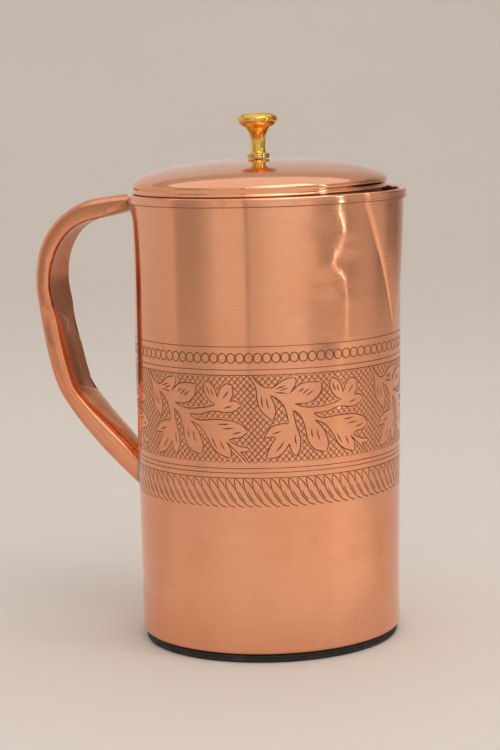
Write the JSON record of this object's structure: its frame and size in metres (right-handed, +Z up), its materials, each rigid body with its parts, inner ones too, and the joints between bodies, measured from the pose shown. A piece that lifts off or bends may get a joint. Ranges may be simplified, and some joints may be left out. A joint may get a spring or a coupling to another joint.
{
  "type": "copper water jug",
  "caption": "Cylindrical copper water jug with a pinched pouring spout, hollow side handle and a round lift-off lid with a turned brass knob.",
  "frame": {"origin": "centre of the foot pad's flat underside, on the axis of the round body", "axes": "+Z up along the body's axis, +X towards the spout's centre line, -X towards the handle"},
  "size_m": [0.1739, 0.115, 0.2304],
  "materials": {
    "copper_engraved": "satin polished copper sheet with fine brush lines and a hand-engraved band",
    "copper_plain": "satin polished copper sheet",
    "copper_handle": "hand polished copper sheet with forming marks",
    "brass_polished": "turned and polished yellow brass",
    "solder": "dull grey soft solder",
    "steel": "plain zinc-plated steel",
    "rubber": "matt black moulded rubber"
  },
  "bodies": {
    "jug": {"foot_pad": "rubber", "base_disc": "copper_plain", "body_shell": "copper_engraved", "rim_band": "copper_plain", "handle_shell": "copper_handle", "handle_strip": "copper_handle", "upper_solder_joint": "solder", "lower_solder_joint": "solder"},
    "knob": {"knob": "brass_polished", "knob_washer": "steel", "knob_screw": "steel"},
    "lid": {"lid_dome": "copper_plain", "lid_plug_ring": "copper_plain"}
  },
  "joints": [
    {"name": "lid_lift", "type": "slide", "parent": "jug", "child": "knob", "axis": [0, 0, 1], "range_m": [0, 0.05]},
    {"name": "lid_turn", "type": "hinge", "parent": "knob", "child": "lid", "pos_m": [0, 0, 0.2002], "axis": [0, 0, 1], "continuous": true}
  ]
}
